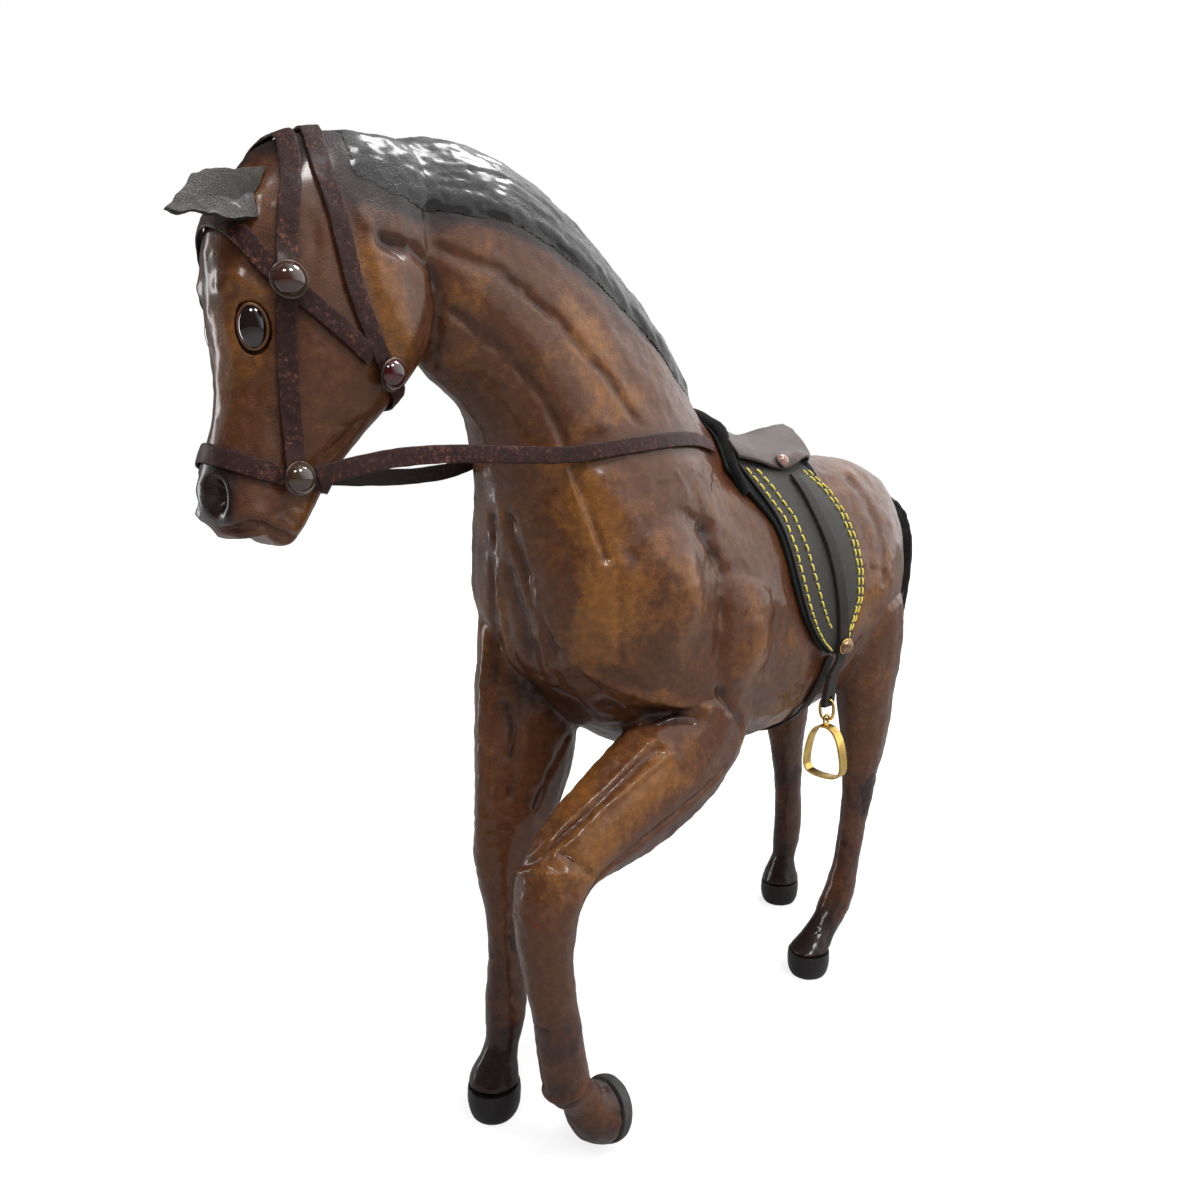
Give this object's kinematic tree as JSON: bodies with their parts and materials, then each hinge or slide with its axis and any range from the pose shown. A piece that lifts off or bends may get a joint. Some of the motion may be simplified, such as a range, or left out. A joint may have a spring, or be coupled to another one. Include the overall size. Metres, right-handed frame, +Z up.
{
  "type": "leather covered horse figurine",
  "caption": "Standing horse figurine covered in moulded leather, one foreleg raised, with bridle, stitched saddle and hanging brass stirrups that swing.",
  "frame": {"origin": "middle of the bounding box in X and Y, on the ground plane the hooves stand on", "axes": "+Z up, the horse faces -Y, its left side is +X"},
  "size_m": [0.0878, 0.3538, 0.3063],
  "materials": {
    "hide_leather": "glossy, moulded, dark in the creases",
    "form_core": "rough, unseen",
    "dowel_wood": "plain, unseen",
    "wire_steel": "drawn wire, unseen",
    "hoof_finish": "glossy, nearly black",
    "hair_leather": "glossy, embossed with strands",
    "ear_leather": "semi-gloss grey-brown",
    "eye_glass": "polished, dark",
    "stud_glass": "polished dark red-brown domes",
    "bridle_leather": "worn, satin",
    "seat_leather": "smooth, satin",
    "flap_leather": "matte, stitched in yellow thread",
    "pad_felt": "black felt",
    "stirrup_leather": "worn, satin",
    "brass_metal": "polished, slightly tarnished"
  },
  "bodies": {
    "horse": {"body_hide": "hide_leather", "head_hide": "hide_leather", "leg_hide_front_right": "hide_leather", "leg_hide_front_left": "hide_leather", "leg_hide_hind_left": "hide_leather", "leg_hide_hind_right": "hide_leather", "body_core": "form_core", "head_core": "form_core", "leg_core_front_right": "form_core", "leg_core_front_left": "form_core", "leg_core_hind_left": "form_core", "leg_core_hind_right": "form_core", "neck_dowel": "dowel_wood", "leg_pin_front_right": "wire_steel", "leg_pin_front_left": "wire_steel", "leg_pin_hind_left": "wire_steel", "leg_pin_hind_right": "wire_steel", "hoof_front_right": "hoof_finish", "hoof_front_left": "hoof_finish", "hoof_hind_left": "hoof_finish", "hoof_hind_right": "hoof_finish", "mane": "hair_leather", "tail": "hair_leather", "ear_left": "ear_leather", "ear_right": "ear_leather", "eye_left": "eye_glass", "eye_right": "eye_glass", "stud_brow_left": "stud_glass", "stud_brow_right": "stud_glass", "stud_throat_left": "stud_glass", "stud_throat_right": "stud_glass", "stud_bit_left": "stud_glass", "stud_bit_right": "stud_glass", "headpiece": "bridle_leather", "browband": "bridle_leather", "throatlatch": "bridle_leather", "noseband": "bridle_leather", "rein_left": "bridle_leather", "rein_right": "bridle_leather", "saddle_seat": "seat_leather", "saddle_flap_left": "flap_leather", "saddle_flap_right": "flap_leather", "saddle_pad": "pad_felt", "stirrup_strap_left": "stirrup_leather", "stirrup_strap_right": "stirrup_leather", "girth": "stirrup_leather", "saddle_stud_left": "brass_metal", "saddle_stud_right": "brass_metal", "flap_rivet_left": "brass_metal", "flap_rivet_right": "brass_metal"},
    "jump_ring_left": {"jump_ring_left": "brass_metal"},
    "stirrup_left": {"stirrup_left": "brass_metal"},
    "jump_ring_right": {"jump_ring_right": "brass_metal"},
    "stirrup_right": {"stirrup_right": "brass_metal"}
  },
  "joints": [
    {"name": "ring_swing_left", "type": "hinge", "parent": "horse", "child": "jump_ring_left", "pos_m": [0.0346, 0.0521, 0.12933], "axis": [1, 0, 0], "range_deg": [-40, 40]},
    {"name": "stirrup_swing_left", "type": "hinge", "parent": "jump_ring_left", "child": "stirrup_left", "pos_m": [0.0346, 0.0521, 0.12093], "axis": [1, 0, 0], "range_deg": [-45, 45]},
    {"name": "ring_swing_right", "type": "hinge", "parent": "horse", "child": "jump_ring_right", "pos_m": [-0.0346, 0.0521, 0.12933], "axis": [1, 0, 0], "range_deg": [-40, 40]},
    {"name": "stirrup_swing_right", "type": "hinge", "parent": "jump_ring_right", "child": "stirrup_right", "pos_m": [-0.0346, 0.0521, 0.12093], "axis": [1, 0, 0], "range_deg": [-45, 45]}
  ]
}
